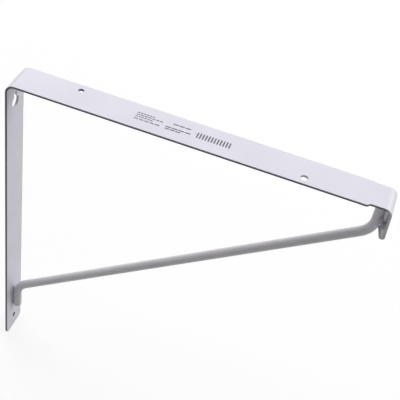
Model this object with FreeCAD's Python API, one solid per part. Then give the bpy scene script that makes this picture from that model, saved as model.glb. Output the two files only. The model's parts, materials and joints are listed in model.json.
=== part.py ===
"""Shelf bracket: one folded steel strap, braced by one bent round rod that is welded into it.

Frame, in millimetres: +X runs out from the wall, +Y across the strap, +Z up. The wall plane is
X = 0, the shelf rests on the plane Z = 0, and the strap's centreline is Y = 0.
"""
import FreeCAD, Part
import math
import os
from FreeCAD import Vector

os.makedirs("parts", exist_ok=True)

# The strap: a strip of sheet steel with its wall leg, shelf arm and front tab.
ARM_REACH = 305.0
LEG_DROP = 304.0
STRAP_WIDTH = 28.6
SHEET = 1.9
WALL_BEND_RADIUS = 6.0
FRONT_BEND_RADIUS = 4.6
FRONT_BEND_ANGLE = 87.0
LEG_CORNER_RADIUS = 5.0
EDGE_BREAK = 0.3

# The narrower tongue that is folded down at the front, and the lip hemmed back behind it.
TONGUE_WIDTH = 25.4
TONGUE_OFFSET = 0.7
TONGUE_LENGTH = 19.7
TAB_DROP = 29.4
HEM_RADIUS = 0.5
HEM_ANGLE = 165.0
LIP_LENGTH = 10.8
LIP_NOTCH_CLEARANCE = 0.3

# The keyhole near the top of the wall leg, and the screw hole near its foot.
KEYHOLE_SLOT_DROP = 17.0
KEYHOLE_SLOT_RADIUS = 2.25
KEYHOLE_ENTRY_DROP = 25.4
KEYHOLE_ENTRY_RADIUS = 5.3
WALL_SCREW_RISE = 14.2
WALL_SCREW_RADIUS = 2.5

# The two screw holes in the arm, one on each side of its centreline: the back one is placed from
# the wall, and the front one from the front.
BACK_SHELF_HOLE_REACH = 53.7
BACK_SHELF_HOLE_OFFSET = 7.1
BACK_SHELF_HOLE_RADIUS = 2.25
FRONT_SHELF_HOLE_SETBACK = 68.2
FRONT_SHELF_HOLE_OFFSET = -7.7
FRONT_SHELF_HOLE_RADIUS = 3.0

# The brace: round rod with an upright foot on the leg and an upright end under the arm.
ROD_RADIUS = 3.95
ROD_BEND_RADIUS = 20.0
LOWER_KNEE_RISE = 59.3
UPPER_KNEE_DROP = 32.6
FOOT_LENGTH = 26.5
ROD_TO_TAB_GAP = 2.95
ROD_END_ROUND = 0.6

# The welds: the foot is pressed flat against the leg, and a bead holds the front end.
FOOT_WELD_FLAT = 0.25
FRONT_WELD_GAP = 0.5
WELD_BEAD_SIZE = 1.6

# How far a cutting solid reaches past the sheet that it cuts.
CUT_MARGIN = 5.0

EDGE_TOLERANCE = 1e-4


def at_angle(degrees):
    """Unit vector in the side view, measured from +X towards +Z."""
    return Vector(math.cos(math.radians(degrees)), 0, math.sin(math.radians(degrees)))


def save(shape, node):
    """Write one node's solid, and print its size."""
    assert shape.isValid(), node
    shape.exportStep(f"parts/{node}.step")
    box = shape.BoundBox
    print(f"{node}: {len(shape.Solids)} solid, {shape.Volume:.1f} mm3, "
          f"x {box.XMin:.2f}..{box.XMax:.2f}, y {box.YMin:.2f}..{box.YMax:.2f}, "
          f"z {box.ZMin:.2f}..{box.ZMax:.2f}")


def fold_strip(start, heading, steps):
    """Closed side outline of a folded strip, and the point where its outer skin ends.

    The outer skin starts at a point and runs along a heading. Each step is a straight length,
    or a pair of inner bend radius and angle for a turn to the right.
    """
    outer = []
    inner = []
    point = start
    for step in steps:
        to_inside = at_angle(heading - 90)
        if isinstance(step, tuple):
            radius, turn = step
            centre = point + to_inside * (radius + SHEET)
            spokes = [at_angle(heading + 90 - turned) for turned in (0, turn / 2, turn)]
            outer.append(Part.Arc(*[centre + spoke * (radius + SHEET) for spoke in spokes]))
            inner.append(Part.Arc(*[centre + spoke * radius for spoke in spokes]))
            point = centre + spokes[-1] * (radius + SHEET)
            heading -= turn
        else:
            end = point + at_angle(heading) * step
            outer.append(Part.LineSegment(point, end))
            inner.append(Part.LineSegment(point + to_inside * SHEET, end + to_inside * SHEET))
            point = end
    start_cap = Part.LineSegment(inner[0].StartPoint, start)
    end_cap = Part.LineSegment(point, inner[-1].EndPoint)
    curves = [start_cap] + outer + [end_cap] + inner[::-1]
    return Part.Wire([curve.toShape() for curve in curves]), point


def make_side_profile():
    """The strap's side outline from the foot of the leg to the lip, and the lip's outer end."""
    wall_bend = WALL_BEND_RADIUS + SHEET
    front_bend = FRONT_BEND_RADIUS + SHEET
    hem = HEM_RADIUS + SHEET
    turn = math.radians(FRONT_BEND_ANGLE)
    arm_run = ARM_REACH - wall_bend - front_bend * math.sin(turn)
    above_tab = front_bend * (1 - math.cos(turn))
    below_tab = hem * (1 + math.cos(turn))
    tab_run = (TAB_DROP - above_tab - below_tab) / math.sin(turn)
    steps = [
        LEG_DROP - wall_bend,
        (WALL_BEND_RADIUS, 90.0),
        arm_run,
        (FRONT_BEND_RADIUS, FRONT_BEND_ANGLE),
        tab_run,
        (HEM_RADIUS, HEM_ANGLE),
        LIP_LENGTH,
    ]
    return fold_strip(Vector(0, -STRAP_WIDTH / 2, -LEG_DROP), 90.0, steps)


def make_shoulder_cutters():
    """The two strips of waste beside the tongue, each with a 45 degree shoulder."""
    cutters = []
    for side in (-1, 1):
        strap_edge = side * STRAP_WIDTH / 2
        tongue_edge = TONGUE_OFFSET + side * TONGUE_WIDTH / 2
        step = abs(strap_edge - tongue_edge)
        start = ARM_REACH - TONGUE_LENGTH
        beyond = ARM_REACH + TAB_DROP
        outside = strap_edge + side * CUT_MARGIN
        floor = -TAB_DROP - CUT_MARGIN
        corners = [
            Vector(start - CUT_MARGIN, outside, floor),
            Vector(start, strap_edge, floor),
            Vector(start + step, tongue_edge, floor),
            Vector(beyond, tongue_edge, floor),
            Vector(beyond, outside, floor),
        ]
        outline = Part.Face(Part.makePolygon(corners + corners[:1]))
        cutters.append(outline.extrude(Vector(0, 0, TAB_DROP + 2 * CUT_MARGIN)))
    return cutters


def make_hole_cutters():
    """Round tools for every hole, and the keyhole's slot."""
    through = SHEET + 2 * CUT_MARGIN

    def through_leg(drop, radius):
        return Part.makeCylinder(radius, through, Vector(-CUT_MARGIN, 0, -drop), Vector(1, 0, 0))

    def through_arm(reach, offset, radius):
        return Part.makeCylinder(radius, through, Vector(reach, offset, -SHEET - CUT_MARGIN))

    slot = Part.makeBox(
        through,
        2 * KEYHOLE_SLOT_RADIUS,
        KEYHOLE_ENTRY_DROP - KEYHOLE_SLOT_DROP,
        Vector(-CUT_MARGIN, -KEYHOLE_SLOT_RADIUS, -KEYHOLE_ENTRY_DROP),
    )
    keyhole = slot.fuse([
        through_leg(KEYHOLE_SLOT_DROP, KEYHOLE_SLOT_RADIUS),
        through_leg(KEYHOLE_ENTRY_DROP, KEYHOLE_ENTRY_RADIUS),
    ])
    return [
        keyhole,
        through_leg(LEG_DROP - WALL_SCREW_RISE, WALL_SCREW_RADIUS),
        through_arm(BACK_SHELF_HOLE_REACH, BACK_SHELF_HOLE_OFFSET, BACK_SHELF_HOLE_RADIUS),
        through_arm(
            ARM_REACH - FRONT_SHELF_HOLE_SETBACK,
            FRONT_SHELF_HOLE_OFFSET,
            FRONT_SHELF_HOLE_RADIUS,
        ),
    ]


def make_lip_notch_cutter(lip_end, rod_front):
    """Round-ended notch in the lip's free edge that lets the rod past, short of the tab."""
    heading = 360.0 - FRONT_BEND_ANGLE - HEM_ANGLE
    up_the_lip = at_angle(heading)
    to_the_wall = at_angle(heading + 90.0)
    half_width = ROD_RADIUS + LIP_NOTCH_CLEARANCE
    depth = (rod_front + LIP_NOTCH_CLEARANCE - lip_end.x) / -up_the_lip.x
    across = Vector(0, half_width, 0)
    mouth = Vector(lip_end.x, 0, lip_end.z) + to_the_wall * CUT_MARGIN
    round_centre = mouth - up_the_lip * (depth - half_width)
    bottom = mouth - up_the_lip * depth
    above = mouth + up_the_lip * CUT_MARGIN
    outline = Part.Wire([
        Part.makeLine(above - across, round_centre - across),
        Part.Arc(round_centre - across, bottom, round_centre + across).toShape(),
        Part.makeLine(round_centre + across, above + across),
        Part.makeLine(above + across, above - across),
    ])
    return Part.Face(outline).extrude(to_the_wall * -(CUT_MARGIN + SHEET + HEM_RADIUS))


def leg_corner_edges(strap):
    """The two short edges at the foot of the leg, across the sheet."""
    edges = []
    for edge in strap.Edges:
        ends = [vertex.Point for vertex in edge.Vertexes]
        at_foot = all(abs(end.z + LEG_DROP) < EDGE_TOLERANCE for end in ends)
        along_x = at_foot and abs(ends[0].y - ends[-1].y) < EDGE_TOLERANCE
        if along_x:
            edges.append(edge)
    return edges


def sheared_edges(strap):
    """The long edges between the strap's sheared sides and its faces, along arm, leg and tab."""
    edges = []
    for edge in strap.Edges:
        box = edge.BoundBox
        along_the_strap = box.YLength < EDGE_TOLERANCE and abs(box.YMin) > TONGUE_WIDTH / 2 - 1
        if along_the_strap and edge.Length > 3 * SHEET:
            edges.append(edge)
    return edges


def make_strap(side_profile, lip_end, rod_front):
    """The folded strap with its tongue, lip notch, holes, rounded foot and broken edges."""
    blank = Part.Face(side_profile).extrude(Vector(0, STRAP_WIDTH, 0))
    strap = blank.cut(make_shoulder_cutters() + [make_lip_notch_cutter(lip_end, rod_front)])
    strap = strap.makeFillet(LEG_CORNER_RADIUS, leg_corner_edges(strap))
    strap = strap.makeFillet(EDGE_BREAK, sheared_edges(strap))
    return strap.cut(make_hole_cutters()).removeSplitter()


def rounded_path(corners, radius):
    """Wire through the corners, with a tangent arc of one radius at each inner corner."""
    curves = []
    point = corners[0]
    for before, corner, after in zip(corners, corners[1:], corners[2:]):
        back = (before - corner).normalize()
        ahead = (after - corner).normalize()
        half_angle = back.getAngle(ahead) / 2
        trim = radius / math.tan(half_angle)
        centre = corner + (back + ahead).normalize() * (radius / math.sin(half_angle))
        arc_start = corner + back * trim
        arc_end = corner + ahead * trim
        arc_middle = centre + (corner - centre).normalize() * radius
        curves.append(Part.LineSegment(point, arc_start))
        curves.append(Part.Arc(arc_start, arc_middle, arc_end))
        point = arc_end
    curves.append(Part.LineSegment(point, corners[-1]))
    return Part.Wire([curve.toShape() for curve in curves])


def make_brace_rod(front_x, rod_top):
    """Bent round rod: foot on the leg, sloping run, and upright front end."""
    foot_x = SHEET + ROD_RADIUS - FOOT_WELD_FLAT
    knee_drop = LEG_DROP - LOWER_KNEE_RISE
    foot_end = Vector(foot_x, 0, -knee_drop - FOOT_LENGTH)
    corners = [
        foot_end,
        Vector(foot_x, 0, -knee_drop),
        Vector(front_x, 0, -UPPER_KNEE_DROP),
        Vector(front_x, 0, rod_top),
    ]
    section = Part.Wire(Part.makeCircle(ROD_RADIUS, foot_end, Vector(0, 0, 1)))
    rod = rounded_path(corners, ROD_BEND_RADIUS).makePipeShell([section], True, False)
    lowest = min(rod.Edges, key=lambda edge: edge.BoundBox.ZMax)
    rod = rod.makeFillet(ROD_END_ROUND, [lowest])
    pressed_away = Part.makeBox(
        ROD_RADIUS,
        2 * ROD_RADIUS,
        FOOT_LENGTH + knee_drop,
        Vector(SHEET - ROD_RADIUS, -ROD_RADIUS, foot_end.z),
    )
    return rod.cut(pressed_away)


def make_front_weld(strap, rod, front_x, rod_top):
    """Weld metal between the rod's end and the arm, with a hollow bead round the rod."""
    outer_radius = ROD_RADIUS + WELD_BEAD_SIZE
    bead_foot = rod_top - WELD_BEAD_SIZE
    corners = [
        Vector(0, 0, bead_foot),
        Vector(ROD_RADIUS, 0, bead_foot),
        Vector(outer_radius, 0, rod_top),
        Vector(outer_radius, 0, 0),
        Vector(0, 0, 0),
    ]
    hollow_centre = Vector(outer_radius, 0, bead_foot)
    hollow_middle = hollow_centre + at_angle(135) * WELD_BEAD_SIZE
    outline = Part.Wire([
        Part.makeLine(corners[0], corners[1]),
        Part.Arc(corners[1], hollow_middle, corners[2]).toShape(),
        Part.makeLine(corners[2], corners[3]),
        Part.makeLine(corners[3], corners[4]),
        Part.makeLine(corners[4], corners[0]),
    ])
    bead = Part.Face(outline).revolve(Vector(0, 0, 0), Vector(0, 0, 1), 360)
    bead.translate(Vector(front_x, 0, 0))
    under_the_arm = bead.cut([strap, rod])
    return min(under_the_arm.Solids, key=lambda solid: solid.CenterOfMass.z)


side_profile, lip_end = make_side_profile()
rod_front_x = ARM_REACH - SHEET - ROD_TO_TAB_GAP - ROD_RADIUS
rod_top = -SHEET - FRONT_WELD_GAP
strap = make_strap(side_profile, lip_end, rod_front_x + ROD_RADIUS)
rod = make_brace_rod(rod_front_x, rod_top)
save(strap, "strap")
save(rod, "brace_rod")
save(make_front_weld(strap, rod, rod_front_x, rod_top), "front_weld")
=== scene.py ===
# %% [markdown]
# # Dressing a welded shelf bracket
#
# The bracket is a folded steel strap with a bent round rod welded into it, all under one pale
# grey powder coat. Nearly all of its shapes come finished from the construction model. Two small
# ones are made here: the upright weld behind the front tab, and what fills the tab's fold. The
# rest of this lesson is about the coat, the cut edges, the print on the arm, the light, and a
# camera that stands where the photographer stood.

# %% Load the construction model
import json
import math

import bmesh
import bpy
from mathutils import Matrix, Vector


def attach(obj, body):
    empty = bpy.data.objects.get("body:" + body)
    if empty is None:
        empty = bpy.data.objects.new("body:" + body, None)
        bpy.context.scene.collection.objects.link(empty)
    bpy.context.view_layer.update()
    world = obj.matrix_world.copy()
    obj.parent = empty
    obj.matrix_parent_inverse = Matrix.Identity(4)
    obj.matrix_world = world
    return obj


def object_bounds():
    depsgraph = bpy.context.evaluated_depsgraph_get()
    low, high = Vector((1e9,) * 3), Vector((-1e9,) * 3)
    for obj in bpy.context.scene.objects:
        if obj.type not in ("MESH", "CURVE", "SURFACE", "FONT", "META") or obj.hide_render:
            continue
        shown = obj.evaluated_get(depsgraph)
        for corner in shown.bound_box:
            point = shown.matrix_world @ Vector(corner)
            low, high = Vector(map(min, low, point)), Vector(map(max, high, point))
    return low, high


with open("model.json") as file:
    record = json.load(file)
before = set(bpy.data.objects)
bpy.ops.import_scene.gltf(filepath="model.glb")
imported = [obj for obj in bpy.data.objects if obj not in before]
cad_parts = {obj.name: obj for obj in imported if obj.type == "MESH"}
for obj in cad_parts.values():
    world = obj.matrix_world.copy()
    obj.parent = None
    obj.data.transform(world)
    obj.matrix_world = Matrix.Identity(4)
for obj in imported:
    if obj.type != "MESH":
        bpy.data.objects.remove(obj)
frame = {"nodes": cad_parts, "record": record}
cad_low, cad_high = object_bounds()
nodes = frame["nodes"]
print("nodes:", sorted(nodes))
print("size in mm:", [round(1000 * side, 1) for side in cad_high - cad_low])

# %% [markdown]
# ## The camera
#
# A camera can be placed by eye, but the strap's long straight edges pin it down much better. By
# those edges, the photographer stood in front of the bracket's near edge, a little towards its
# front end, and looked down on it with the camera rolled clockwise. The place, the two directions
# and the field of view below are in the bracket's own frame, in metres.

# %% Place the camera
CAMERA_PLACE = Vector((0.26247, -0.51400, 0.42176))
CAMERA_RIGHT = Vector((0.93692, 0.31807, 0.14495))
CAMERA_AHEAD = Vector((-0.13985, 0.72117, -0.67849))
PICTURE_SIDE = 400
FOCAL_PIXELS = 901.15
SENSOR = 36.0


def camera_matrix(place, right, ahead):
    """The camera's matrix from where it is, what is to its right and what is ahead of it."""
    back = -ahead.normalized()
    right = (right - back * right.dot(back)).normalized()
    up = back.cross(right)
    turn = Matrix((right, up, back)).transposed()
    return Matrix.Translation(place) @ turn.to_4x4()


camera_data = bpy.data.cameras.new("photo_camera")
camera_data.sensor_width = SENSOR
camera_data.lens = SENSOR * FOCAL_PIXELS / PICTURE_SIDE
camera = bpy.data.objects.new("photo_camera", camera_data)
camera.matrix_world = camera_matrix(CAMERA_PLACE, CAMERA_RIGHT, CAMERA_AHEAD)
bpy.context.scene.collection.objects.link(camera)
bpy.context.scene.camera = camera
print("lens in mm:", round(camera_data.lens, 1))

# %% [markdown]
# ## Building node materials with a few words
#
# A material is a small graph: nodes that each do one sum, and links that carry the results to
# the shader. The world behind the scene is a graph too. Written out in full, a graph fills
# pages. These helpers make one node each and return its output, so a graph reads like a formula.


# %% Start a graph
class Graph:
    """The nodes of one material, or of the world, with the output node at the end."""

    def __init__(self, owner, output_kind="ShaderNodeOutputMaterial"):
        self.owner = owner
        owner.use_nodes = True
        self.tree = owner.node_tree
        self.tree.nodes.clear()
        self.output = self.tree.nodes.new(output_kind)

    def node(self, kind, **settings):
        """A new node of that kind, with its properties set."""
        node = self.tree.nodes.new(kind)
        for name, value in settings.items():
            setattr(node, name, value)
        return node

    def feed(self, socket, value):
        """Put a number or colour on a socket, or link it to another node's output."""
        if isinstance(value, bpy.types.NodeSocket):
            self.tree.links.new(value, socket)
        else:
            socket.default_value = value


# %% Sums and mixes
def sum_node(graph, operation, first, second=0.0):
    """One sum on numbers."""
    node = graph.node("ShaderNodeMath", operation=operation)
    for socket, value in zip(node.inputs, (first, second)):
        graph.feed(socket, value)
    return node.outputs[0]


def product(graph, *factors):
    """All the factors multiplied together."""
    result = factors[0]
    for factor in factors[1:]:
        result = sum_node(graph, "MULTIPLY", result, factor)
    return result


def blend_colours(graph, share, first, second):
    """The first colour where the share is 0, and the second where it is 1."""
    node = graph.node("ShaderNodeMix", data_type="RGBA")
    graph.feed(node.inputs["Factor"], share)
    graph.feed(node.inputs[6], first)
    graph.feed(node.inputs[7], second)
    return node.outputs[2]


def rescale(graph, value, old_low, old_high, new_low, new_high):
    """Slide a value from one range to another, and stop at the ends."""
    node = graph.node("ShaderNodeMapRange")
    for socket, number in zip(node.inputs, (value, old_low, old_high, new_low, new_high)):
        graph.feed(socket, number)
    return node.outputs[0]


# %% Places and noise
def own_place(graph):
    """Where a point is in the bracket's frame, in metres: x, y and z."""
    coordinates = graph.node("ShaderNodeTexCoord")
    split = graph.node("ShaderNodeSeparateXYZ")
    graph.feed(split.inputs[0], coordinates.outputs["Object"])
    return coordinates.outputs["Object"], split.outputs


def own_facing(graph):
    """Which way the surface faces in the bracket's frame: x, y and z."""
    coordinates = graph.node("ShaderNodeTexCoord")
    split = graph.node("ShaderNodeSeparateXYZ")
    graph.feed(split.inputs[0], coordinates.outputs["Normal"])
    return split.outputs


def noise(graph, place, size, detail=2.0):
    """Soft random values from 0 to 1 whose blobs have about that size in metres."""
    node = graph.node("ShaderNodeTexNoise")
    graph.feed(node.inputs["Vector"], place)
    node.inputs["Scale"].default_value = 1.0 / size
    node.inputs["Detail"].default_value = detail
    return node.outputs["Fac"]


def relief(graph, height, depth, under=None):
    """Tilt the shading as if the surface rose and fell by that depth in metres."""
    node = graph.node("ShaderNodeBump")
    node.inputs["Distance"].default_value = depth
    graph.feed(node.inputs["Height"], height)
    if under is not None:
        graph.feed(node.inputs["Normal"], under)
    return node.outputs["Normal"]


# %% [markdown]
# ## The powder coat
#
# Powder is sprayed on dry and melts in an oven. It levels into a satin skin that is never quite
# flat: it keeps a shallow orange peel, and a fine grain inside it. The film is a little thicker
# in some places than in others, which can show as a slight change of tone. The photograph is too
# small to show the peel and the grain, so their sizes here are guesses.
#
# A bump map alone would leave the coat one even grey. So one noise changes the tone, a second
# changes the gloss and raises the orange peel, and a third adds the grain.

# %% Recipe of the coat
COAT_COLOUR = (0.765, 0.745, 0.835, 1.0)
THIN_COAT_COLOUR = (0.735, 0.715, 0.795, 1.0)
TONE_PATCH = 0.035
PEEL_SWELL = 0.0022
PEEL_DEPTH = 0.000012
GRAIN_SIZE = 0.00060
GRAIN_DEPTH = 0.000002
COAT_GLOSS = (0.36, 0.46)
PATCH_LIMITS = (0.35, 0.65)
SWELL_LIMITS = (0.3, 0.7)


def coat_parts(graph, tones=(COAT_COLOUR, THIN_COAT_COLOUR)):
    """The coat's colour, roughness and relief, for use on any piece."""
    place, _ = own_place(graph)
    patches = noise(graph, place, TONE_PATCH, detail=3.0)
    colour = blend_colours(graph, rescale(graph, patches, *PATCH_LIMITS, 0.0, 1.0), *tones)
    swells = noise(graph, place, PEEL_SWELL, detail=1.0)
    grain = noise(graph, place, GRAIN_SIZE, detail=2.0)
    roughness = rescale(graph, swells, *SWELL_LIMITS, *COAT_GLOSS)
    peel = relief(graph, swells, PEEL_DEPTH)
    return colour, roughness, relief(graph, grain, GRAIN_DEPTH, under=peel)


def finish(graph, colour, roughness, normal):
    """Put a coat on the shader, and the shader on the material."""
    shader = graph.node("ShaderNodeBsdfPrincipled")
    graph.feed(shader.inputs["Base Color"], colour)
    graph.feed(shader.inputs["Roughness"], roughness)
    graph.feed(shader.inputs["Normal"], normal)
    graph.feed(graph.output.inputs["Surface"], shader.outputs["BSDF"])
    return graph.owner


print("orange peel in micrometres:", round(PEEL_DEPTH * 1e6))

# %% [markdown]
# ## Cut edges
#
# Straps like this one are sheared from sheet, and their holes are punched. Molten powder pulls
# back from a sharp cut edge, so the film there is thin. The dark colour on the sheared sides is
# partly that thin film over the steel and partly painted shade, for sides that face the camera
# and lie in shade.
#
# The sheared sides face straight across the strap, so the way a surface faces picks them out.
# The limits let in the two slanted shoulders beside the tongue too, and the edge's rounding. The
# walls of the keyhole's slot face across as well, but they were punched and lie near the middle,
# so only what is far from the middle counts.
# The front tab's edge is paler than the rest, so it gets a paler painted shade of its own.

# %% Find the sheared sides
# The edge colours are partly a thin coat and partly painted shade.
CUT_EDGE_AND_SHADE_COLOUR = (0.120, 0.114, 0.132, 1.0)
TAB_EDGE_PALER_SHADE = (0.680, 0.665, 0.690, 1.0)
EDGE_GLOSS = 0.55
SIDEWAYS_LIMITS = (0.45, 0.68)
EDGE_REACH = 0.0105
TAB_START = 0.2985
TAB_BLEND = 0.0040


def sheared_side(graph):
    """1 on the strap's sheared sides and shoulders, 0 on its flat faces."""
    _, place = own_place(graph)
    facing = own_facing(graph)
    sideways = sum_node(graph, "ABSOLUTE", facing["Y"])
    across = rescale(graph, sideways, *SIDEWAYS_LIMITS, 0.0, 1.0)
    from_middle = sum_node(graph, "ABSOLUTE", place["Y"])
    return product(graph, across, sum_node(graph, "GREATER_THAN", from_middle, EDGE_REACH))


def edge_shade_colour(graph):
    """Painted shade on the cut edges: dark on the arm and leg, and paler on the front tab."""
    _, place = own_place(graph)
    on_tab = rescale(graph, place["X"], TAB_START, TAB_START + TAB_BLEND, 0.0, 1.0)
    return blend_colours(graph, on_tab, CUT_EDGE_AND_SHADE_COLOUR, TAB_EDGE_PALER_SHADE)


# %% [markdown]
# The walls of the holes face every way, so they are found by their distance from each hole's
# axis, which the record gives. That alone would also mark the front tab, which the keyhole's
# axis runs through, so a wall must lie near the hole's own sheet too. Their dark colour is
# painted shade for the shade inside the holes. The wall of the leg's screw hole is darker than
# those of the wide holes, so here a narrow hole's wall gets the full painted shade and a wide
# one's about a quarter of it. The arm's narrow back hole gets the same dark painted shade,
# although the photograph shows it in a lighter grey.

# %% Find the hole walls
# The hole-wall colour is painted shade, for the shade inside the holes.
HOLE_SHADE_COLOUR = (0.130, 0.124, 0.140, 1.0)
WALL_MARGIN = 0.00006
SHEET_REACH = 0.003
UPRIGHT_AXIS = 0.5
NARROW_RADIUS = 0.0028
WIDE_HOLE_SHADE_SHARE = 0.26


def gap_to(graph, coordinate, middle):
    """How far a coordinate is from a place."""
    return sum_node(graph, "ABSOLUTE", sum_node(graph, "SUBTRACT", coordinate, middle))


def hole_walls(graph, mounts):
    """How much painted shade the walls of the round holes get, and 0 elsewhere."""
    _, place = own_place(graph)
    found = 0.0
    for mount in mounts:
        if mount["kind"] != "bore":
            continue
        x, y, z = mount["pos_m"]
        steps = {"X": gap_to(graph, place["X"], x), "Z": gap_to(graph, place["Z"], z)}
        through, along = ("Z", "X") if abs(mount["axis"][2]) > UPRIGHT_AXIS else ("X", "Z")
        across = gap_to(graph, place["Y"], y)
        squares = sum_node(graph, "ADD", product(graph, steps[along], steps[along]),
                           product(graph, across, across))
        radius = mount["dims"]["r_mm"] / 1000
        from_axis = sum_node(graph, "SQRT", squares)
        in_bore = sum_node(graph, "LESS_THAN", from_axis, radius + WALL_MARGIN)
        in_sheet = sum_node(graph, "LESS_THAN", steps[through], SHEET_REACH)
        # Narrow holes get the full painted shade, wide ones about a quarter of it.
        shade_share = 1.0 if radius < NARROW_RADIUS else WIDE_HOLE_SHADE_SHARE
        shaded_wall = product(graph, in_bore, in_sheet, shade_share)
        found = sum_node(graph, "MAXIMUM", found, shaded_wall)
    return found


# %% [markdown]
# ## The print on the arm
#
# The arm carries a small dark print between its back hole and its middle. Here it is a plain
# pattern of strokes and bars, with no words in it. Ink has no thickness that anyone could
# see, so it needs no mesh: it is a mask in the strap's material, worked out from the place on the
# arm. Each field is a rectangle, cut into strokes by the remainder of a division.

# %% Strokes and bars
INK_COLOUR = (0.040, 0.038, 0.050, 1.0)
INK_FILL = 0.94
UPWARD_LIMIT = 0.9
STROKE_ROWS = (
    # start along the arm, end, place across, row height, stroke pitch, inked share of the pitch
    (0.1019, 0.1163, 0.0042, 0.0012, 0.0024, 0.76),
    (0.1019, 0.1234, 0.0018, 0.0012, 0.0031, 0.80),
    (0.1016, 0.1160, -0.0006, 0.0012, 0.0024, 0.76),
    (0.1014, 0.1226, -0.0034, 0.0012, 0.00424, 0.82),
    (0.1307, 0.1453, 0.0038, 0.0013, 0.0049, 0.88),
    (0.1262, 0.1464, -0.0014, 0.0013, 0.0051, 0.88),
    (0.1262, 0.1390, -0.0038, 0.0013, 0.0043, 0.86),
    (0.1507, 0.1785, 0.0001, 0.0066, 0.00232, 0.50),
)


def print_mask(graph, rows):
    """1 where a row of strokes has ink, on the upper face of the arm."""
    _, place = own_place(graph)
    facing = own_facing(graph)
    inked = 0.0
    for start, end, across, height, pitch, share in rows:
        from_middle = gap_to(graph, place["X"], (start + end) / 2)
        along = sum_node(graph, "LESS_THAN", from_middle, (end - start) / 2)
        in_row = sum_node(graph, "LESS_THAN", gap_to(graph, place["Y"], across), height / 2)
        turns = sum_node(graph, "DIVIDE", sum_node(graph, "SUBTRACT", place["X"], start), pitch)
        stroke = sum_node(graph, "LESS_THAN", sum_node(graph, "FRACT", turns), share)
        inked = sum_node(graph, "MAXIMUM", inked, product(graph, along, in_row, stroke))
    facing_up = sum_node(graph, "GREATER_THAN", facing["Z"], UPWARD_LIMIT)
    return product(graph, inked, facing_up, INK_FILL)


# %% Coat the strap
def make_strap_material(mounts):
    """Powder coat with thin cut edges, painted shade on the cut edges and hole walls, and the
    print on the arm.
    """
    graph = Graph(bpy.data.materials.new("strap_coat"))
    colour, roughness, normal = coat_parts(graph)
    sheared = sheared_side(graph)
    punched = hole_walls(graph, mounts)
    # Painted shade on the sheared sides and in the holes, then the print.
    colour = blend_colours(graph, sheared, colour, edge_shade_colour(graph))
    colour = blend_colours(graph, punched, colour, HOLE_SHADE_COLOUR)
    colour = blend_colours(graph, print_mask(graph, STROKE_ROWS), colour, INK_COLOUR)
    cut_gloss = product(graph, sum_node(graph, "MAXIMUM", sheared, punched), EDGE_GLOSS)
    roughness = sum_node(graph, "MAXIMUM", roughness, cut_gloss)
    return finish(graph, colour, roughness, normal)


def wear(node, material):
    """Give a node its one material."""
    node.data.materials.clear()
    node.data.materials.append(material)
    print(node.name, "wears", material.name)


wear(nodes["strap"], make_strap_material(frame["record"]["mounts"]))

# %% [markdown]
# ## The rod and its weld
#
# The rod has the strap's powder, but its grey is a little less blue: a painted tint for the warm
# light on its shaded sides. The only cut face of the rod that shows is the end of its foot. It
# faces down and gets the strap's dark edge colour as painted shade. A weld laid by hand has small
# ripples where the metal froze, and the powder softens but doesn't hide them. Fine noise in the
# relief makes them. The space behind the front tab comes out in deeper shade here than in the
# photograph, so the welds there take a paler coat: painted light against that shade.


# %% Coat the rod and the weld
# The rod's tones carry a painted tint of the warm light on its shaded sides.
ROD_WARM_SHADE_TONES = ((0.760, 0.742, 0.778, 1.0), (0.728, 0.711, 0.742, 1.0))
# Paler tones for the welds and the fold: painted light against the deep shade behind the front
# tab.
PALER_PAINTED_LIGHT_TONES = ((0.880, 0.866, 0.892, 1.0), (0.845, 0.832, 0.858, 1.0))
FOOT_END_DEPTH = 0.0008
DOWNWARD_LIMITS = (-0.60, -0.90)
RIPPLE_SIZE = 0.0011
RIPPLE_DEPTH = 0.00018


def foot_end(graph, foot_level):
    """1 on the cut end of the rod's foot, 0 elsewhere."""
    _, place = own_place(graph)
    facing = own_facing(graph)
    downward = rescale(graph, facing["Z"], *DOWNWARD_LIMITS, 0.0, 1.0)
    at_end = sum_node(graph, "LESS_THAN", place["Z"], foot_level + FOOT_END_DEPTH)
    return product(graph, downward, at_end)


def make_rod_material(foot_level):
    """Powder coat, with painted shade on the cut end at the foot."""
    graph = Graph(bpy.data.materials.new("rod_coat"))
    colour, roughness, normal = coat_parts(graph, ROD_WARM_SHADE_TONES)
    # Painted shade on the downward-facing cut end of the foot.
    colour = blend_colours(graph, foot_end(graph, foot_level), colour, CUT_EDGE_AND_SHADE_COLOUR)
    return finish(graph, colour, roughness, normal)


def make_weld_material():
    """Powder coat over the ripples of a weld bead, in paler tones of painted light."""
    graph = Graph(bpy.data.materials.new("weld_coat"))
    colour, roughness, normal = coat_parts(graph, PALER_PAINTED_LIGHT_TONES)
    place, _ = own_place(graph)
    ripples = noise(graph, place, RIPPLE_SIZE, detail=1.0)
    return finish(graph, colour, roughness, relief(graph, ripples, RIPPLE_DEPTH, under=normal))


foot_level = min(vertex.co.z for vertex in nodes["brace_rod"].data.vertices)
weld_coat = make_weld_material()
wear(nodes["brace_rod"], make_rod_material(foot_level))
wear(nodes["front_weld"], weld_coat)
print("foot of the rod at z in mm:", round(1000 * foot_level, 1))

# %% [markdown]
# ## The upright weld
#
# In the photograph no background shows between the rod's upright end and the tab in front of it.
# An upright weld below the ring of weld at the rod's top would close that space, so one is laid
# here. A bead is a row of frozen pools, each lapping over the last, and not a smooth tube. Here it
# is a stack of oval rings of points, wider in the middle of each pool than between two pools,
# and a subdivision surface rounds it. Its long sides sink a little into the rod and the tab, as
# weld metal does.

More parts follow.
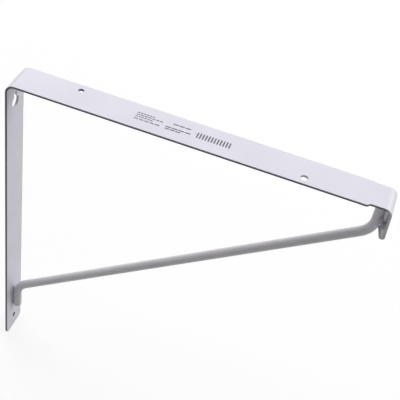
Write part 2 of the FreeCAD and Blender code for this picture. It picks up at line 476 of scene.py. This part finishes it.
# %% Lay the upright bead
BEAD_TOP = -0.0046
BEAD_BOTTOM = -0.0200
BEAD_MIDDLE_X = 0.30165
BEAD_HALF_DEPTH = 0.0023
BEAD_HALF_WIDTH = 0.0052
BEAD_LEAN = 0.052
POOLS = 7
RINGS_PER_POOL = 4
POOL_SWELL = 0.07
FOOT_SIZE = 0.35
TOP_SIZE = 0.55
END_GROWTH = 6
RING_POINTS = 16


def bead_rings():
    """Rings of points from the bead's foot to its top, narrowed at both ends."""
    count = POOLS * RINGS_PER_POOL
    rings = []
    for step in range(count + 1):
        share = step / count
        z = BEAD_BOTTOM + (BEAD_TOP - BEAD_BOTTOM) * share
        pool = abs(math.sin(math.pi * POOLS * share))
        end = min(1.0, FOOT_SIZE + END_GROWTH * share, TOP_SIZE + END_GROWTH * (1 - share))
        swell = end * (1 - POOL_SWELL + 2 * POOL_SWELL * pool)
        middle_x = BEAD_MIDDLE_X - BEAD_LEAN * (z - BEAD_TOP)
        ring = []
        for corner in range(RING_POINTS):
            angle = 2 * math.pi * corner / RING_POINTS
            ring.append((
                middle_x + BEAD_HALF_DEPTH * swell * math.cos(angle),
                BEAD_HALF_WIDTH * swell * math.sin(angle),
                z,
            ))
        rings.append(ring)
    return rings


def skin_rings(name, rings):
    """A closed mesh through rings of points, with its two ends capped."""
    mesh = bmesh.new()
    loops = [[mesh.verts.new(point) for point in ring] for ring in rings]
    for lower, upper in zip(loops, loops[1:]):
        for corner in range(len(lower)):
            after = (corner + 1) % len(lower)
            mesh.faces.new((lower[corner], lower[after], upper[after], upper[corner]))
    mesh.faces.new(loops[0][::-1])
    mesh.faces.new(loops[-1])
    data = bpy.data.meshes.new(name)
    mesh.to_mesh(data)
    mesh.free()
    data.polygons.foreach_set("use_smooth", [True] * len(data.polygons))
    piece = bpy.data.objects.new(name, data)
    bpy.context.scene.collection.objects.link(piece)
    return piece


def add_coated(piece, material):
    """Give a new piece its material and slot, and fix it to the bracket."""
    wear(piece, material)
    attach(piece, "root")


upright_bead = skin_rings("upright_weld_bead", bead_rings())
upright_bead.modifiers.new("rounding", "SUBSURF").render_levels = 1
add_coated(upright_bead, weld_coat)
print("bead in mm:", round(1000 * (BEAD_TOP - BEAD_BOTTOM), 1), "tall in", POOLS, "pools")

# %% [markdown]
# ## Powder in the fold
#
# Where the lip is folded back close behind the tab, the space between them narrows to about a
# millimetre. In the photograph a pale wedge shows there, between the two edges at the tab's foot.
# It is read here as powder that melted into the fold, though it may be weld metal. The wedge
# follows the fold: up the lip, across in a hollow curve, down the tab and round the fold's own
# radius. It stops just short of the cut edges.

# %% Fill the fold
FOLD_CENTRE = Vector((0.303689, 0.0, -0.027000))
FOLD_RADIUS = 0.00052
LIP_SIDE = Vector((-0.9511, 0.0, -0.3090))
UP_THE_LIP = Vector((-0.3090, 0.0, 0.9511))
TAB_SIDE = Vector((0.9986, 0.0, 0.0523))
UP_THE_TAB = Vector((-0.0523, 0.0, 0.9986))
POWDER_DEPTH = 0.0078
POWDER_HOLLOW = 0.0010
POWDER_ENDS = (-0.01185, 0.01325)
END_ROUNDING = ((0.0, 0.86), (0.0001, 0.94), (0.0003, 1.0))
SIDE_STEPS = 4
HOLLOW_SHARES = (0.25, 0.5, 0.75)
FOLD_ANGLES = (-38, -80, -121)


def powder_outline():
    """Points round the wedge in the side view."""
    lip_foot = FOLD_CENTRE + LIP_SIDE * FOLD_RADIUS
    tab_foot = FOLD_CENTRE + TAB_SIDE * FOLD_RADIUS
    lip_top = lip_foot + UP_THE_LIP * POWDER_DEPTH
    tab_top = tab_foot + UP_THE_TAB * POWDER_DEPTH
    shares = [step / SIDE_STEPS for step in range(SIDE_STEPS + 1)]
    points = [lip_foot.lerp(lip_top, share) for share in shares]
    for share in HOLLOW_SHARES:
        sag = POWDER_HOLLOW * math.sin(math.pi * share)
        points.append(lip_top.lerp(tab_top, share) - UP_THE_TAB * sag)
    points += [tab_top.lerp(tab_foot, share) for share in shares]
    for degrees in FOLD_ANGLES:
        angle = math.radians(degrees)
        spoke = Vector((math.cos(angle), 0.0, math.sin(angle)))
        points.append(FOLD_CENTRE + spoke * FOLD_RADIUS)
    return points


def powder_rings():
    """The wedge's outline at places across the strap, drawn in at both ends."""
    outline = powder_outline()
    middle = sum(outline, Vector()) / len(outline)
    low, high = POWDER_ENDS
    places = [(low + step, size) for step, size in END_ROUNDING]
    places += [(high - step, size) for step, size in reversed(END_ROUNDING)]
    rings = []
    for across, size in places:
        rings.append([middle.lerp(point, size) + Vector((0, across, 0)) for point in outline])
    return rings


def make_fold_powder_painted_light():
    """The paler coat in the fold: painted light against the deep shade there."""
    graph = Graph(bpy.data.materials.new("fold_powder_painted_light"))
    return finish(graph, *coat_parts(graph, PALER_PAINTED_LIGHT_TONES))


# The wedge wears the paler tones, painted light against the shade in the fold.
powder = skin_rings("powder_in_the_fold", powder_rings())
add_coated(powder, make_fold_powder_painted_light())
print("powder wedge in mm:", round(1000 * POWDER_DEPTH, 1), "deep")

# %% [markdown]
# ## Floor and backdrop
#
# The photograph's background is plain white. A white floor under strong light would throw far
# too much light up at the bracket, so the floor is a middle grey for the light that bounces off
# it, and white for the camera and for reflections. A part of its real shade is mixed in, so the
# bracket still stands on a soft shadow. That part fades out away from the bracket, so the floor
# has no visible end.

# %% Floor
FLOOR_SIDE = 12.0
FLOOR_BOUNCE = (0.45, 0.45, 0.45, 1.0)
WHITE = (1.0, 1.0, 1.0, 1.0)
GLOW_SHARE = 0.78
SHADOW_REACH = (0.35, 1.1)


def seen_directly(graph):
    """1 for rays from the camera, from a reflection or through glass."""
    path = graph.node("ShaderNodeLightPath")
    seen = sum_node(graph, "MAXIMUM", path.outputs["Is Camera Ray"], path.outputs["Is Glossy Ray"])
    return sum_node(graph, "MAXIMUM", seen, path.outputs["Is Transmission Ray"])


def make_floor_material():
    """Matt paper that bounces little light and looks white."""
    graph = Graph(bpy.data.materials.new("floor_paper"))
    seen = seen_directly(graph)
    place, _ = own_place(graph)
    distance = graph.node("ShaderNodeVectorMath", operation="LENGTH")
    graph.feed(distance.inputs[0], place)
    glow_share = rescale(graph, distance.outputs["Value"], *SHADOW_REACH, GLOW_SHARE, 1.0)
    matt = graph.node("ShaderNodeBsdfDiffuse")
    graph.feed(matt.inputs["Color"], blend_colours(graph, seen, FLOOR_BOUNCE, WHITE))
    glow = graph.node("ShaderNodeEmission")
    glow.inputs["Color"].default_value = WHITE
    glow.inputs["Strength"].default_value = 1.0
    mix = graph.node("ShaderNodeMixShader")
    graph.feed(mix.inputs[0], product(graph, seen, glow_share))
    graph.feed(mix.inputs[1], matt.outputs[0])
    graph.feed(mix.inputs[2], glow.outputs[0])
    graph.feed(graph.output.inputs["Surface"], mix.outputs[0])
    return graph.owner


half = FLOOR_SIDE / 2
floor_mesh = bpy.data.meshes.new("floor")
floor_mesh.from_pydata(
    [(-half, -half, 0), (half, -half, 0), (half, half, 0), (-half, half, 0)], [], [(0, 1, 2, 3)]
)
floor_mesh.materials.append(make_floor_material())
floor = bpy.data.objects.new("floor", floor_mesh)
floor.location.z = cad_low.z
bpy.context.scene.collection.objects.link(floor)
print("floor at z in mm:", round(1000 * cad_low.z, 1))

# %% [markdown]
# ## The room round the bracket
#
# Beyond the floor there is only the world, and it lights everything evenly from all sides. At full
# strength it would wash out every shadow, so its light is kept faint. What the eye and the glossy
# coat see of it is plain white all the same, as the inside of a photographer's tent is.

# %% World
WORLD_LIGHT = 0.11


def backdrop(graph, strength):
    """White light of one strength from all round."""
    node = graph.node("ShaderNodeBackground")
    node.inputs["Color"].default_value = WHITE
    node.inputs["Strength"].default_value = strength
    return node


world_graph = Graph(bpy.data.worlds.new("studio"), "ShaderNodeOutputWorld")
background = backdrop(world_graph, WORLD_LIGHT)
world_mix = world_graph.node("ShaderNodeMixShader")
world_graph.feed(world_mix.inputs[0], seen_directly(world_graph))
world_graph.feed(world_mix.inputs[1], background.outputs[0])
world_graph.feed(world_mix.inputs[2], backdrop(world_graph, 1.0).outputs[0])
world_graph.feed(world_graph.output.inputs["Surface"], world_mix.outputs[0])
bpy.context.scene.world = world_graph.owner
print("light from the world:", WORLD_LIGHT)

# %% [markdown]
# ## Light
#
# In the photograph the top of the arm is the brightest face, the leg's inner face is a little
# darker, and the sides that face the camera are in soft shade, as in a bright tent that is open
# towards the camera. Large lamps far away give that soft light. Each one is a direction and a
# power, and most of the power comes from above and behind.

# %% Softboxes
LAMP_DISTANCE = 4.0
LAMP_SIDE = 2.7
SOFTBOXES = (
    # name, direction from the bracket, power in watts
    ("overhead", (0.0, 0.15, 1.0), 64.0),
    ("back_left", (-0.7, 0.6, 0.6), 50.0),
    ("back_right", (0.7, 0.6, 0.6), 83.0),
    ("back_low", (0.0, 1.0, 0.25), 30.0),
    ("left", (-1.0, -0.05, 0.5), 4.0),
    ("front_left", (-0.6, -0.75, 0.1), 8.0),
    ("front_right", (0.75, -0.65, 0.12), 6.5),
    ("front_high", (0.1, -0.65, 0.75), 3.0),
)


def softbox(name, direction, power, target):
    """A square lamp at the standard distance, turned to face the target."""
    data = bpy.data.lights.new(name, "AREA")
    data.size = LAMP_SIDE
    data.energy = power
    lamp = bpy.data.objects.new(name, data)
    lamp.location = target + Vector(direction).normalized() * LAMP_DISTANCE
    lamp.rotation_euler = (target - lamp.location).to_track_quat("-Z", "Y").to_euler()
    bpy.context.scene.collection.objects.link(lamp)
    return lamp


middle = (cad_low + cad_high) / 2
lamps = [softbox(name, direction, power, middle) for name, direction, power in SOFTBOXES]
print("lamps:", [lamp.name for lamp in lamps])

# %% Finish
bpy.context.scene.view_settings.view_transform = "Standard"
